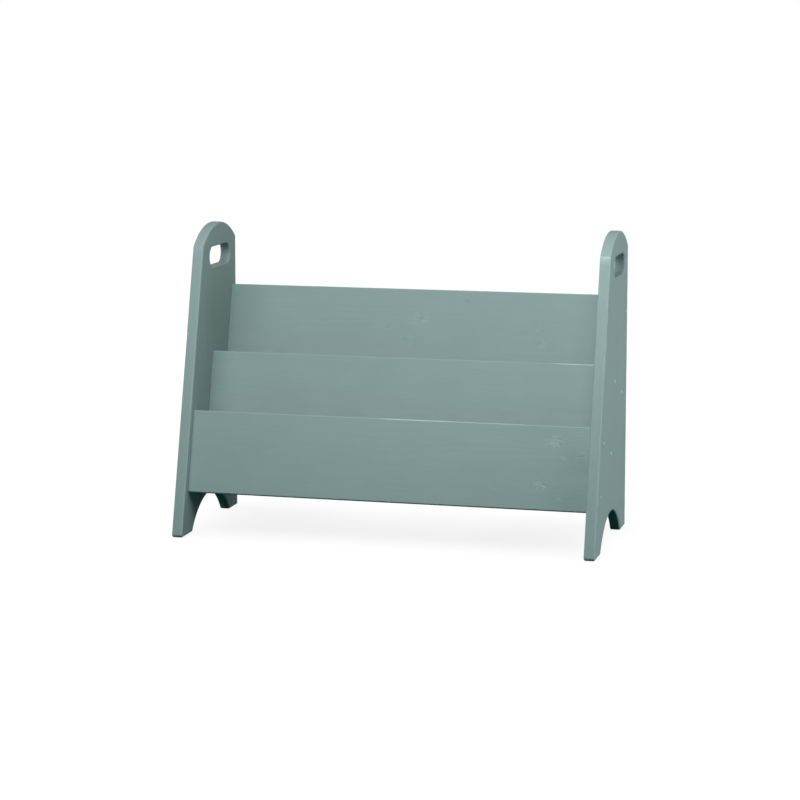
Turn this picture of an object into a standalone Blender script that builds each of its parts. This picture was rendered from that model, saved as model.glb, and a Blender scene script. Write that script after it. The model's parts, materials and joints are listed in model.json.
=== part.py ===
"""Two-pocket book rack in painted pine: two shaped sides, three leaning panels, two pocket floors.

Metres, +Z up, the front faces -Y. The origin is on the floor, under the middle of the rack.
Every leaning board is placed in one tilted frame: u runs up along the sides' front edges,
v runs square to them, towards the back, and X runs along the boards.
"""
import math

import bmesh
import bpy
from mathutils import Matrix, Vector

# Overall sizes
OVERALL_WIDTH = 0.700
OVERALL_DEPTH = 0.290
OVERALL_HEIGHT = 0.501
BOARD = 0.018                        # thickness of the side boards
PANEL_THICKNESS = 0.018              # thickness of the three leaning panels
FLOOR_THICKNESS = 0.018              # thickness of the two pocket floors
LEAN = math.radians(14.6)            # the panels and the sides' front edges lean back by this
GAP = 0.0003                         # clearance between touching pieces

# Side board outline
HEAD_FRONT_DROP = 0.0335             # from the top of the arched head down to its front corner
HEAD_REAR_DROP = 0.030               # and down to its rear corner
NOSE_RADIUS = 0.005                  # rounding of the front foot's lower front edge
FRONT_FOOT = 0.054                   # length of the front foot on the floor, to the sharp corner
REAR_FOOT = 0.0435                   # length of the rear foot on the floor
ARCH_RISE = 0.0505                   # height of the arch between the feet
GRIP_LENGTH = 0.105                  # hand hole, end to end
GRIP_HEIGHT = 0.033
GRIP_DROP = 0.0555                   # from the top of the head to the middle of the hand hole
SIDE_ARRIS = 0.003                   # rounding of the side boards' edges
ARC_STEP = math.radians(3.5)         # longest facet of a large arc
SMALL_ARC_STEP = math.radians(15.0)  # longest facet of a small arc
ARRIS_STEPS = 3                      # facets across a rounded edge
SMOOTH_ANGLE = math.radians(35.0)    # faces that meet flatter than this are shaded as one

# Leaning panels and pocket floors, measured in the tilted frame
FRONT_SETBACK = 0.0135               # from the sides' front edges to the front panel's face
POCKET_WIDTH = 0.057                 # clear width of a pocket, square to the panels
LIP_HEIGHT = 0.060                   # a pocket's front stands this far above its floor
FRONT_PANEL_BASE = 0.077             # the front panel's lower edge, along the lean
FRONT_PANEL_HEIGHT = 0.135
MIDDLE_PANEL_HEIGHT = 0.168
REAR_PANEL_HEIGHT = 0.185
PANEL_ARRIS = 0.0020                 # rounding of the panels' long edges

# Screws, with a domed wooden plug over each head
SCREW_EDGE = 0.025                   # from a panel's long edge to the screw nearest to it
SCREW_LENGTH = 0.045
SCREW_RADIUS = 0.0020
SCREW_HEAD_RADIUS = 0.0039
SCREW_HEAD_RIM = 0.0004
SCREW_POINT = 0.005
DRIVE_WIDTH = 0.0009                 # cross recess in the screw's head
DRIVE_LENGTH = 0.0038
DRIVE_DEPTH = 0.0012
PLUG_RADIUS = 0.0040
PLUG_LENGTH = 0.005
PLUG_DOME = 0.0020                   # the plug's dome stands this far out of the side

# Dowels that carry the pocket floors
DOWEL_RADIUS = 0.0040
DOWEL_LENGTH = 0.030
DOWEL_IN_SIDE = 0.012                # depth of the dowel's blind hole in the side board
DOWEL_SPACING = 0.040
DOWEL_CHAMFER = 0.001

DOME_STEPS = 4                       # facets from the middle of a plug's dome to its rim
OVERCUT = 0.002                      # cutters reach this far out of the wood
MERGE = 1e-6                         # points nearer than this are one point
ROUND_SIDES = 16                     # facets round a screw, a plug or a dowel

# Values worked out from the sizes above
INNER_X = OVERALL_WIDTH / 2 - BOARD
REAR_Y = OVERALL_DEPTH / 2
CORNER_ANGLE = math.pi / 2 - LEAN    # between the floor and the sides' front edges
NOSE_TANGENT = NOSE_RADIUS / math.tan(CORNER_ANGLE / 2)
TOE_Y = -OVERALL_DEPTH / 2 - (NOSE_TANGENT - NOSE_RADIUS)
HEAD_FRONT_Z = OVERALL_HEIGHT - HEAD_FRONT_DROP
HEAD_REAR_Z = OVERALL_HEIGHT - HEAD_REAR_DROP
HEAD_FRONT_Y = TOE_Y + HEAD_FRONT_Z * math.tan(LEAN)
BOARD_PITCH = PANEL_THICKNESS + POCKET_WIDTH
PANEL_LENGTH = 2 * (INNER_X - GAP)
HOLE_RADIUS = PLUG_RADIUS + GAP
PILOT_RADIUS = SCREW_RADIUS + GAP
HEAD_TOP = PLUG_LENGTH + GAP         # depth of the screw's head below the outer face

# Name, lower edge, height and front face of each leaning panel
MIDDLE_PANEL_BASE = FRONT_PANEL_BASE + FRONT_PANEL_HEIGHT - LIP_HEIGHT
REAR_PANEL_BASE = MIDDLE_PANEL_BASE + MIDDLE_PANEL_HEIGHT - LIP_HEIGHT
PANELS = (
    ("front_panel", FRONT_PANEL_BASE, FRONT_PANEL_HEIGHT, FRONT_SETBACK),
    ("middle_panel", MIDDLE_PANEL_BASE, MIDDLE_PANEL_HEIGHT, FRONT_SETBACK + BOARD_PITCH),
    ("rear_panel", REAR_PANEL_BASE, REAR_PANEL_HEIGHT, FRONT_SETBACK + 2 * BOARD_PITCH),
)
POCKETS = ("front", "rear")
SIDES = (("left", -1), ("right", 1))


def clear_scene():
    for thing in list(bpy.data.objects):
        bpy.data.objects.remove(thing, do_unlink=True)


def linear(hex_colour):
    """An sRGB hex colour as linear red, green, blue and alpha."""
    parts = [int(hex_colour[i:i + 2], 16) / 255 for i in (1, 3, 5)]
    return [c / 12.92 if c <= 0.04045 else ((c + 0.055) / 1.055) ** 2.4 for c in parts] + [1.0]


def finish(name, hex_colour, roughness, metallic=0.0):
    material = bpy.data.materials.new(name)
    material.use_nodes = True
    shader = material.node_tree.nodes["Principled BSDF"]
    shader.inputs["Base Color"].default_value = linear(hex_colour)
    shader.inputs["Roughness"].default_value = roughness
    shader.inputs["Metallic"].default_value = metallic
    material.diffuse_color = linear(hex_colour)
    return material


def add_empty(name):
    empty = bpy.data.objects.new(name, None)
    bpy.context.scene.collection.objects.link(empty)
    return empty


def add_object(name, mesh, material=None, parent=None):
    thing = bpy.data.objects.new(name, mesh)
    bpy.context.scene.collection.objects.link(thing)
    if material is not None and not mesh.materials:
        mesh.materials.append(material)
    thing.parent = parent
    return thing


def mesh_from(bm, name):
    bmesh.ops.recalc_face_normals(bm, faces=bm.faces)
    mesh = bpy.data.meshes.new(name)
    bm.to_mesh(mesh)
    bm.free()
    mesh.shade_smooth()
    mesh.set_sharp_from_angle(angle=SMOOTH_ANGLE)
    return mesh


def cut(thing, cutter, solver="EXACT"):
    """Takes the cutter's shape out of a board, and keeps the cutter as a wire guide."""
    boolean = thing.modifiers.new("cut_" + cutter.name, "BOOLEAN")
    boolean.operation = "DIFFERENCE"
    boolean.solver = solver
    boolean.object = cutter
    cutter.hide_render = True
    cutter.display_type = "WIRE"


def shade_by_area(thing):
    """Lets the large flat faces set the shading at their rims, so that only the rounded edges shade round."""
    weighted = thing.modifiers.new("flat_faces", "WEIGHTED_NORMAL")
    weighted.keep_sharp = True


def arc(centre, radius, start, end, step):
    """Points on an arc in the Y-Z plane, both ends included."""
    count = max(2, math.ceil(abs(end - start) / step))
    angles = [start + (end - start) * i / count for i in range(count + 1)]
    return [(centre[0] + radius * math.cos(a), centre[1] + radius * math.sin(a)) for a in angles]


def crown_circle(left, right, top):
    """Centre and radius of the one circle through two points that just touches a height above them."""
    left_drop, right_drop = top - left[1], top - right[1]
    span, fall = right[0] - left[0], right_drop - left_drop
    root = math.sqrt(left_drop * right_drop * (span ** 2 + fall ** 2))
    reach = left_drop * (span ** 2 + right_drop * fall) / (span * left_drop + root)
    radius = (reach ** 2 + left_drop ** 2) / (2 * left_drop)
    return (left[0] + reach, top - radius), radius


def crown_arc(left, right, top, step):
    """Points on that circle, from the right point over the crown to the left one."""
    centre, radius = crown_circle(left, right, top)
    start, end = (math.atan2(z - centre[1], y - centre[0]) for y, z in (right, left))
    return arc(centre, radius, start, end, step)


def prism(name, outline, depth):
    """A flat outline in Y-Z, drawn out along X from 0 to depth."""
    bm = bmesh.new()
    face = bm.faces.new([bm.verts.new((0.0, y, z)) for y, z in outline])
    drawn = bmesh.ops.extrude_face_region(bm, geom=[face])
    moved = [item for item in drawn["geom"] if isinstance(item, bmesh.types.BMVert)]
    bmesh.ops.translate(bm, verts=moved, vec=(depth, 0.0, 0.0))
    return mesh_from(bm, name)


def inset_outline(outline, distance):
    """An outline moved into the wood, corner by corner; the wood lies to the right of its run."""
    corners = [Vector(point) for point in outline]
    moved = []
    for before, here, after in zip(corners[-1:] + corners[:-1], corners, corners[1:] + corners[:1]):
        runs = (here - before).normalized(), (after - here).normalized()
        first, second = (Vector((run.y, -run.x)) for run in runs)
        mitre = (first + second).normalized()
        moved.append(here + mitre * (distance / mitre.dot(first)))
    return moved


def rounded_board(name, outline, hole, thickness, arris):
    """A board with a hole through it: rings of points that step round its edges, and two flat faces."""
    turns = [math.pi / 2 * i / ARRIS_STEPS for i in range(ARRIS_STEPS + 1)]
    profile = [(arris * (1 - math.cos(a)), arris * (1 - math.sin(a))) for a in turns]
    profile += [(thickness - x, inset) for x, inset in reversed(profile)]
    bm = bmesh.new()
    rims = []
    for loop in (outline, hole):
        rings = [[bm.verts.new((x, y, z)) for y, z in inset_outline(loop, inset)] for x, inset in profile]
        for lower, upper in zip(rings, rings[1:]):
            for i in range(len(loop)):
                bm.faces.new((lower[i - 1], lower[i], upper[i], upper[i - 1]))
        rims.append((rings[0], rings[-1]))
    for face_rims in zip(*rims):
        edges = [bm.edges.get((rim[i - 1], rim[i])) for rim in face_rims for i in range(len(rim))]
        bmesh.ops.triangle_fill(bm, edges=edges, use_beauty=True, normal=(1.0, 0.0, 0.0))
    return mesh_from(bm, name)


def turned(name, profile, sides=ROUND_SIDES):
    """A solid turned about the X axis from (x, radius) points that start and end on the axis."""
    bm = bmesh.new()
    verts = [bm.verts.new((x, 0.0, radius)) for x, radius in profile]
    edges = [bm.edges.new(pair) for pair in zip(verts, verts[1:])]
    bmesh.ops.spin(bm, geom=verts + edges, cent=(0, 0, 0), axis=(1, 0, 0),
                   angle=2 * math.pi, steps=sides, use_merge=True)
    bmesh.ops.remove_doubles(bm, verts=bm.verts, dist=MERGE)
    return mesh_from(bm, name)


def side_outline():
    """The side board's outline: leaning front edge, arched head, upright back, arched foot."""
    nose_centre = (TOE_Y + NOSE_TANGENT, NOSE_RADIUS)
    nose = arc(nose_centre, NOSE_RADIUS, -math.pi / 2, -math.pi - LEAN, SMALL_ARC_STEP)
    head = crown_arc((HEAD_FRONT_Y, HEAD_FRONT_Z), (REAR_Y, HEAD_REAR_Z), OVERALL_HEIGHT, ARC_STEP)
    arch = crown_arc((TOE_Y + FRONT_FOOT, 0.0), (REAR_Y - REAR_FOOT, 0.0), ARCH_RISE, ARC_STEP)
    return nose + head[::-1] + [(REAR_Y, 0.0)] + arch


def grip_outline():
    """An oblong with fully round ends, centred under the crown of the head."""
    (middle_y, _), _ = crown_circle((HEAD_FRONT_Y, HEAD_FRONT_Z), (REAR_Y, HEAD_REAR_Z), OVERALL_HEIGHT)
    middle_z = OVERALL_HEIGHT - GRIP_DROP
    radius = GRIP_HEIGHT / 2
    reach = GRIP_LENGTH / 2 - radius
    rear = arc((middle_y + reach, middle_z), radius, -math.pi / 2, math.pi / 2, SMALL_ARC_STEP)
    front = arc((middle_y - reach, middle_z), radius, math.pi / 2, 3 * math.pi / 2, SMALL_ARC_STEP)
    return rear + front


def screw_places():
    """Where the screws' axes are in the tilted frame: panel name, count from below, v and u."""
    places = []
    for name, base, height, face in PANELS:
        for number, u in enumerate((base + SCREW_EDGE, base + height - SCREW_EDGE), start=1):
            places.append((name.removesuffix("_panel"), number, face + PANEL_THICKNESS / 2, u))
    return places


def floor_boards():
    """Each pocket's floor: it butts on the panel in front, and the panel behind stands on it."""
    boards = []
    for pocket, (_, _, _, face), (_, base, _, face_behind) in zip(POCKETS, PANELS, PANELS[1:]):
        front = face + PANEL_THICKNESS + GAP
        back = face_behind + PANEL_THICKNESS
        boards.append((pocket, front, back - front, base - GAP - FLOOR_THICKNESS))
    return boards


def dowel_places():
    """Where the dowels' axes are in the tilted frame: pocket, number, v and u."""
    places = []
    for pocket, front, depth, low in floor_boards():
        for number, offset in enumerate((-DOWEL_SPACING / 2, DOWEL_SPACING / 2), start=1):
            places.append((pocket, number, front + depth / 2 + offset, low + FLOOR_THICKNESS / 2))
    return places


def screw_hole_profile():
    """Plug hole, countersink and clearance hole, as depths below the side's outer face."""
    seat = HEAD_TOP + SCREW_HEAD_RIM + GAP * math.sqrt(2) + SCREW_HEAD_RADIUS - HOLE_RADIUS
    return [(-OVERCUT, 0.0), (-OVERCUT, HOLE_RADIUS), (seat, HOLE_RADIUS),
            (seat + HOLE_RADIUS - PILOT_RADIUS, PILOT_RADIUS),
            (BOARD + OVERCUT, PILOT_RADIUS), (BOARD + OVERCUT, 0.0)]


def screw_profile():
    """A countersunk wood screw, from its head down to its point."""
    cone_end = HEAD_TOP + SCREW_HEAD_RIM + SCREW_HEAD_RADIUS - SCREW_RADIUS
    tip = HEAD_TOP + SCREW_LENGTH
    return [(HEAD_TOP, 0.0), (HEAD_TOP, SCREW_HEAD_RADIUS),
            (HEAD_TOP + SCREW_HEAD_RIM, SCREW_HEAD_RADIUS), (cone_end, SCREW_RADIUS),
            (tip - SCREW_POINT, SCREW_RADIUS), (tip, 0.0)]


def plug_profile():
    """A turned plug whose head is a low dome above the side's outer face."""
    radius = (PLUG_RADIUS ** 2 + PLUG_DOME ** 2) / (2 * PLUG_DOME)
    half_angle = math.asin(PLUG_RADIUS / radius)
    angles = [half_angle * i / DOME_STEPS for i in range(DOME_STEPS + 1)]
    dome = [(radius * (1 - math.cos(a)) - PLUG_DOME, radius * math.sin(a)) for a in angles]
    return dome + [(PLUG_LENGTH, PLUG_RADIUS), (PLUG_LENGTH, 0.0)]


def dowel_profile():
    end = DOWEL_LENGTH
    return [(0.0, 0.0), (0.0, DOWEL_RADIUS - DOWEL_CHAMFER), (DOWEL_CHAMFER, DOWEL_RADIUS),
            (end - DOWEL_CHAMFER, DOWEL_RADIUS), (end, DOWEL_RADIUS - DOWEL_CHAMFER), (end, 0.0)]


def blind_hole_profile(radius, start, end):
    return [(start, 0.0), (start, radius), (end, radius), (end, 0.0)]


def drive_cutter(name):
    """The cross that is sunk into a screw's head."""
    half, arm = DRIVE_WIDTH / 2, DRIVE_LENGTH / 2
    quarter = [(half, half), (half, arm), (-half, arm)]
    outline = []
    for turn in range(4):
        spin = Matrix.Rotation(turn * math.pi / 2, 2)
        outline += [tuple(spin @ Vector(point)) for point in quarter]
    cross = prism(name, outline, OVERCUT + DRIVE_DEPTH)
    cross.transform(Matrix.Translation((HEAD_TOP - OVERCUT, 0.0, 0.0)))
    return cross


def place_on_side(thing, sign, v, u):
    """Puts a piece made along +X on a side's outer face, so that +X points into the rack."""
    thing.location = (sign * OVERALL_WIDTH / 2, v, u)
    thing.rotation_euler = (0.0, 0.0, math.pi if sign > 0 else 0.0)


def make_sides(paint, tilted, hole_mesh, dowel_hole_mesh):
    side_mesh = rounded_board("side_board", side_outline(), grip_outline(), BOARD, SIDE_ARRIS)
    for word, sign in SIDES:
        side = add_object(word + "_side", side_mesh, paint)
        side.location.x = -OVERALL_WIDTH / 2 if sign < 0 else INNER_X
        for panel, number, v, u in screw_places():
            hole = add_object(f"{word}_{panel}_hole_{number}", hole_mesh, parent=tilted)
            place_on_side(hole, sign, v, u)
            cut(side, hole, "MANIFOLD")
        for pocket, number, v, u in dowel_places():
            hole = add_object(f"{word}_{pocket}_socket_{number}", dowel_hole_mesh, parent=tilted)
            place_on_side(hole, sign, v, u)
            cut(side, hole, "MANIFOLD")
        shade_by_area(side)


def make_board(name, depth, height, paint, tilted, places, hole_mesh):
    """A straight board with rounded long edges and bores in both ends."""
    outline = [(0.0, 0.0), (depth, 0.0), (depth, height), (0.0, height)]
    board = add_object(name, prism(name, outline, PANEL_LENGTH), paint, tilted)
    mesh = board.data
    weights = mesh.attributes.new("bevel_weight_edge", "FLOAT", "EDGE")
    for edge in mesh.edges:
        ends = [mesh.vertices[i].co.x for i in edge.vertices]
        weights.data[edge.index].value = 1.0 if abs(ends[0] - ends[1]) > PANEL_LENGTH / 2 else 0.0
    bevel = board.modifiers.new("arris", "BEVEL")
    bevel.limit_method = "WEIGHT"
    bevel.width = PANEL_ARRIS
    bevel.segments = ARRIS_STEPS
    for label, number, v, u in places:
        for word, sign in SIDES:
            bore = add_object(f"{name}_{word}_{label}_bore_{number}", hole_mesh, parent=tilted)
            place_on_side(bore, sign, v, u)
            cut(board, bore)
    shade_by_area(board)
    return board


def make_panels(paint, tilted):
    pilot = turned("pilot_cutter", blind_hole_profile(
        PILOT_RADIUS, BOARD - OVERCUT, HEAD_TOP + SCREW_LENGTH + GAP))
    for name, base, height, face in PANELS:
        stem = name.removesuffix("_panel")
        places = [place for place in screw_places() if place[0] == stem]
        board = make_board(name, PANEL_THICKNESS, height, paint, tilted, places, pilot)
        board.location = (-PANEL_LENGTH / 2, face, base)


def make_floors(paint, tilted):
    end = BOARD - DOWEL_IN_SIDE + GAP + DOWEL_LENGTH + GAP
    socket = turned("floor_socket_cutter", blind_hole_profile(
        DOWEL_RADIUS + GAP, BOARD - OVERCUT, end))
    for pocket, front, depth, low in floor_boards():
        name = pocket + "_pocket_floor"
        places = [place for place in dowel_places() if place[0] == pocket]
        board = make_board(name, depth, FLOOR_THICKNESS, paint, tilted, places, socket)
        board.location = (-PANEL_LENGTH / 2, front, low)


def make_fasteners(plug_paint, steel, beech, tilted):
    screw_mesh = turned("wood_screw", screw_profile())
    plug_mesh = turned("domed_plug", plug_profile())
    dowel_mesh = turned("dowel", dowel_profile())
    drive_mesh = drive_cutter("drive_cutter")
    dowel_mesh.transform(Matrix.Translation((BOARD - DOWEL_IN_SIDE + GAP, 0.0, 0.0)))
    for word, sign in SIDES:
        for panel, number, v, u in screw_places():
            screw = add_object(f"{word}_{panel}_screw_{number}", screw_mesh, steel, tilted)
            drive = add_object(f"{word}_{panel}_drive_{number}", drive_mesh, parent=tilted)
            plug = add_object(f"{word}_{panel}_plug_{number}", plug_mesh, plug_paint, tilted)
            for piece in (screw, drive, plug):
                place_on_side(piece, sign, v, u)
            cut(screw, drive)
        for pocket, number, v, u in dowel_places():
            dowel = add_object(f"{word}_{pocket}_floor_dowel_{number}", dowel_mesh, beech, tilted)
            place_on_side(dowel, sign, v, u)


def build():
    clear_scene()
    tilted = add_empty("tilted_frame")
    tilted.location = (0.0, TOE_Y, 0.0)
    tilted.rotation_euler = (-LEAN, 0.0, 0.0)

    paint = finish("sage_painted_pine", "#8BA39E", 0.45)
    plug_paint = finish("sage_painted_plug", "#93AAA5", 0.40)
    steel = finish("zinc_plated_steel", "#C9C6BE", 0.35, 1.0)
    beech = finish("plain_beech", "#D3AE83", 0.65)

    hole_mesh = turned("screw_hole_cutter", screw_hole_profile())
    socket_mesh = turned("side_socket_cutter", blind_hole_profile(
        DOWEL_RADIUS + GAP, BOARD - DOWEL_IN_SIDE, BOARD + OVERCUT))
    make_sides(paint, tilted, hole_mesh, socket_mesh)
    make_panels(paint, tilted)
    make_floors(paint, tilted)
    make_fasteners(plug_paint, steel, beech, tilted)


build()
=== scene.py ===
# %% [markdown]
# # A two-pocket book rack in painted pine
#
# The real object is a low rack that shows children's books by their covers. Two shaped side boards carry
# three leaning panels and two pocket floors, and everything visible has the same matt sage-green paint. The
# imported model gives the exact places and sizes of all 39 pieces. This lesson dresses that model: the boards
# and plugs get finer meshes with softly rounded edges, and every piece gets the finish of the real one.
# Lengths are in metres, +Z is up, and the front faces -Y.

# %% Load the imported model
import json
import math

import bmesh
import bpy
from mathutils import Euler, Matrix, Vector

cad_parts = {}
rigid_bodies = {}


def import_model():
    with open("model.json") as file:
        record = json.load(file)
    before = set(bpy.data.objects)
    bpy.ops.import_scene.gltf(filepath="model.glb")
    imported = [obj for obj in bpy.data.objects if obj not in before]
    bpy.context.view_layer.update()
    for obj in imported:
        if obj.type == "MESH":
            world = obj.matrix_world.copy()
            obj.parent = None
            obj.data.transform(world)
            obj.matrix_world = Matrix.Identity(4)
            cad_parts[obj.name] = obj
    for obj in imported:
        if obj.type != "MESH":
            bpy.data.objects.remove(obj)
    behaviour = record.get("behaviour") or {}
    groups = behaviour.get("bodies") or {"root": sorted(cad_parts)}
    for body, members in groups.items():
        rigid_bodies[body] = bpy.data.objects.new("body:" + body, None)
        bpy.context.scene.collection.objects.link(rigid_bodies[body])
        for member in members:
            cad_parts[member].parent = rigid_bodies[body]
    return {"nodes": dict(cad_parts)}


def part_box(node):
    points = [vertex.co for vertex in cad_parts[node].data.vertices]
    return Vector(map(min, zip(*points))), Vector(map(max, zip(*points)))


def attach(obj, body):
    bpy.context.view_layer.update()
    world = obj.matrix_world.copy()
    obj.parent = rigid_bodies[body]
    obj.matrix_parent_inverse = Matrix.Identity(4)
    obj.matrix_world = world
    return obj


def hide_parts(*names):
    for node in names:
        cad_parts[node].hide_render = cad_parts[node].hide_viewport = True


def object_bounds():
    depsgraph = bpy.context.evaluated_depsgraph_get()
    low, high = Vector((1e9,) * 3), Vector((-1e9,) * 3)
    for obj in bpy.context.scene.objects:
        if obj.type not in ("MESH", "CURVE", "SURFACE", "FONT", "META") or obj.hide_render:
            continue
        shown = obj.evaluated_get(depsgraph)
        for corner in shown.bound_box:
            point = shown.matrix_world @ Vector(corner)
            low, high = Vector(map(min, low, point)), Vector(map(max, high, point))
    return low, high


for thing in list(bpy.data.objects):
    bpy.data.objects.remove(thing, do_unlink=True)
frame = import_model()
cad_low, cad_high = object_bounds()
MM = 0.001
print("packed pieces:", len(frame["nodes"]))
print("packed size in mm:", [round(side / MM, 1) for side in cad_high - cad_low])

# %% [markdown]
# ## The camera
#
# A product photograph like this one is taken from a few metres away with a long lens, so that upright edges
# stay nearly parallel. The camera could be aimed by eye, but a lens and a place that were worked out from
# straight edges of the rack put every corner within a pixel of where it belongs. The picture was cropped
# after it was taken, so the middle of the lens isn't the middle of the frame, and a small shift says so.

# %% Place the camera
CAMERA_PLACE = (0.9927, -3.839, 0.8549)
CAMERA_PITCH = math.radians(7.414)
CAMERA_TURN = math.radians(14.769)
LENS_MM = 109.86
SHIFT = (0.0129, -0.0900)

camera = bpy.data.objects.new("camera", bpy.data.cameras.new("camera"))
bpy.context.scene.collection.objects.link(camera)
camera.location = CAMERA_PLACE
camera.rotation_euler = Euler((math.pi / 2 - CAMERA_PITCH, 0.0, CAMERA_TURN))
camera.data.lens = LENS_MM
camera.data.shift_x, camera.data.shift_y = SHIFT
bpy.context.scene.camera = camera
to_rack = camera.location - (cad_low + cad_high) / 2
print("distance to the middle of the rack:", round(to_rack.length, 2), "m")

# %% [markdown]
# ## From points to a shaded board
#
# Every board here has large flat faces and narrow rounded edges. Plain smooth shading would bend the light
# over the flat faces too. A Weighted Normal modifier lets the largest face at each corner win, so that the
# flat faces stay flat and only the rounded edges catch a soft line of light, as sanded and painted edges
# do. The bluntest real corner of the rack is the one at the front of a side board's head, where the edge
# turns by 33 degrees. It has to stay crisp, so the limit for a smooth join lies just under that.

# %% A helper that turns a bmesh into a piece
SHARP_ANGLE = math.radians(30.0)


def add_piece(name, bm, place=Matrix.Identity(4)):
    """Makes an object of a bmesh, smooth except where two faces meet at a real corner."""
    bmesh.ops.recalc_face_normals(bm, faces=bm.faces)
    mesh = bpy.data.meshes.new(name)
    bm.to_mesh(mesh)
    bm.free()
    mesh.shade_smooth()
    mesh.set_sharp_from_angle(angle=SHARP_ANGLE)
    piece = bpy.data.objects.new(name, mesh)
    bpy.context.scene.collection.objects.link(piece)
    piece.matrix_world = place
    return piece


def shade_by_area(piece):
    """Keeps the shading of large faces flat, and leaves the bend to the small ones."""
    weighted = piece.modifiers.new("flat_faces", "WEIGHTED_NORMAL")
    weighted.keep_sharp = True


print("corners stay sharp from", round(math.degrees(SHARP_ANGLE)), "degrees on")

# %% [markdown]
# ## Arcs
#
# The boards are cut with a router along a template, so each outline is a few straight runs joined by true
# arcs. One function gives the points of any arc, and the length of its steps decides how round it looks. A
# step of two degrees on a 130 mm arc leaves the chord 0.02 mm inside the circle, which no eye can see. Arcs
# of a few millimetres can do with larger steps.

# %% Points on an arc
ARC_STEP = math.radians(2.0)
SMALL_ARC_STEP = math.radians(7.5)


def arc(centre, radius, start, end, step):
    """Points on an arc in the Y-Z plane, both ends included."""
    count = max(2, math.ceil(abs(end - start) / step))
    angles = [start + (end - start) * i / count for i in range(count + 1)]
    return [(centre[0] + radius * math.cos(a), centre[1] + radius * math.sin(a)) for a in angles]


for radius_mm, step in ((130, ARC_STEP), (16.5, SMALL_ARC_STEP)):
    print("off the circle at", radius_mm, "mm radius:", round(radius_mm * (1 - math.cos(step / 2)), 3), "mm")

# %% [markdown]
# ## The panels and the pocket floors
#
# Each is a straight pine board, square at the ends, where it butts on the side boards, and rounded along
# its four long edges. It could be a box with a Bevel modifier. Here it is drawn the way a moulding is made:
# one rounded cross-section, run out along the board. Every board leans back by the same angle, and its box
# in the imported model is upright, so its own depth and height follow from the box by turning the two lengths
# back by the lean.

# %% Draw the leaning boards
LEAN = math.radians(14.6)
BOARD_ARRIS = 2.0 * MM
LEANING_BOARDS = ("front_panel", "middle_panel", "rear_panel", "front_pocket_floor", "rear_pocket_floor")


def leaning_board(node):
    """A board with rounded long edges that fills the place of a packed one."""
    low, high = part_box(node)
    cos, sin = math.cos(LEAN), math.sin(LEAN)
    box_depth = high.y - low.y - 2 * BOARD_ARRIS
    box_height = high.z - low.z - 2 * BOARD_ARRIS
    depth = (box_depth * cos - box_height * sin) / (cos ** 2 - sin ** 2)
    height = (box_height * cos - box_depth * sin) / (cos ** 2 - sin ** 2)
    section = []
    for corner, (y, z) in enumerate(((1, 1), (-1, 1), (-1, -1), (1, -1))):
        start = corner * math.pi / 2
        centre = (y * depth / 2, z * height / 2)
        section += arc(centre, BOARD_ARRIS, start, start + math.pi / 2, SMALL_ARC_STEP)
    bm = bmesh.new()
    half = (high.x - low.x) / 2
    end = bm.faces.new([bm.verts.new((-half, y, z)) for y, z in section])
    drawn = bmesh.ops.extrude_face_region(bm, geom=[end])
    moved = [item for item in drawn["geom"] if isinstance(item, bmesh.types.BMVert)]
    bmesh.ops.translate(bm, verts=moved, vec=(2 * half, 0.0, 0.0))
    size = (2 * half, depth + 2 * BOARD_ARRIS, height + 2 * BOARD_ARRIS)
    print(node, "in mm:", [round(side / MM, 1) for side in size])
    place = Matrix.Translation((low + high) / 2) @ Matrix.Rotation(-LEAN, 4, "X")
    return add_piece("painted_" + node, bm, place)


boards = {node: leaning_board(node) for node in LEANING_BOARDS}
for board in boards.values():
    shade_by_area(board)

# %% [markdown]
# ## The outline of a side board
#
# Going round from the toe: a small rounded nose, the leaning front edge, the arched head, the upright back
# edge, and the arch that leaves two feet. The outline could be traced point by point, but a router's
# template is made of straight runs and arcs, and a few lengths give those exactly. The head is one arc that
# just touches the top of the board and ends in two corners at slightly unlike heights. The circle through
# both corners that touches that height has a closed formula, so nothing has to be tried out. The foot arch
# is the same kind of arc between two points on the floor.

# %% A circle under a given height
def crown_circle(left, right, top):
    """Centre and radius of the one circle through two points that just touches a height above them."""
    left_drop, right_drop = top - left[1], top - right[1]
    span, fall = right[0] - left[0], right_drop - left_drop
    root = math.sqrt(left_drop * right_drop * (span ** 2 + fall ** 2))
    reach = left_drop * (span ** 2 + right_drop * fall) / (span * left_drop + root)
    radius = (reach ** 2 + left_drop ** 2) / (2 * left_drop)
    return (left[0] + reach, top - radius), radius


def crown_arc(left, right, top):
    """Points on that circle, from the right point over the crown to the left one."""
    centre, radius = crown_circle(left, right, top)
    start, end = (math.atan2(z - centre[1], y - centre[0]) for y, z in (right, left))
    return arc(centre, radius, start, end, ARC_STEP)


print("a crown 1 high over a span of 2 has the radius", crown_circle((-1.0, 0.0), (1.0, 0.0), 1.0)[1])

# %% Draw the outline
NOSE_RADIUS = 5.0 * MM
HEAD_FRONT_DROP, HEAD_REAR_DROP = 33.5 * MM, 30.0 * MM
FRONT_FOOT, REAR_FOOT, ARCH_RISE = 54.0 * MM, 43.5 * MM, 50.5 * MM

side_low, side_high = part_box("left_side")
TOP_Z, FRONT_Y, REAR_Y = side_high.z, side_low.y, side_high.y
NOSE_TANGENT = NOSE_RADIUS / math.tan((math.pi / 2 - LEAN) / 2)
TOE_Y = FRONT_Y - (NOSE_TANGENT - NOSE_RADIUS)
HEAD_FRONT = (TOE_Y + (TOP_Z - HEAD_FRONT_DROP) * math.tan(LEAN), TOP_Z - HEAD_FRONT_DROP)
HEAD_REAR = (REAR_Y, TOP_Z - HEAD_REAR_DROP)

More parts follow.
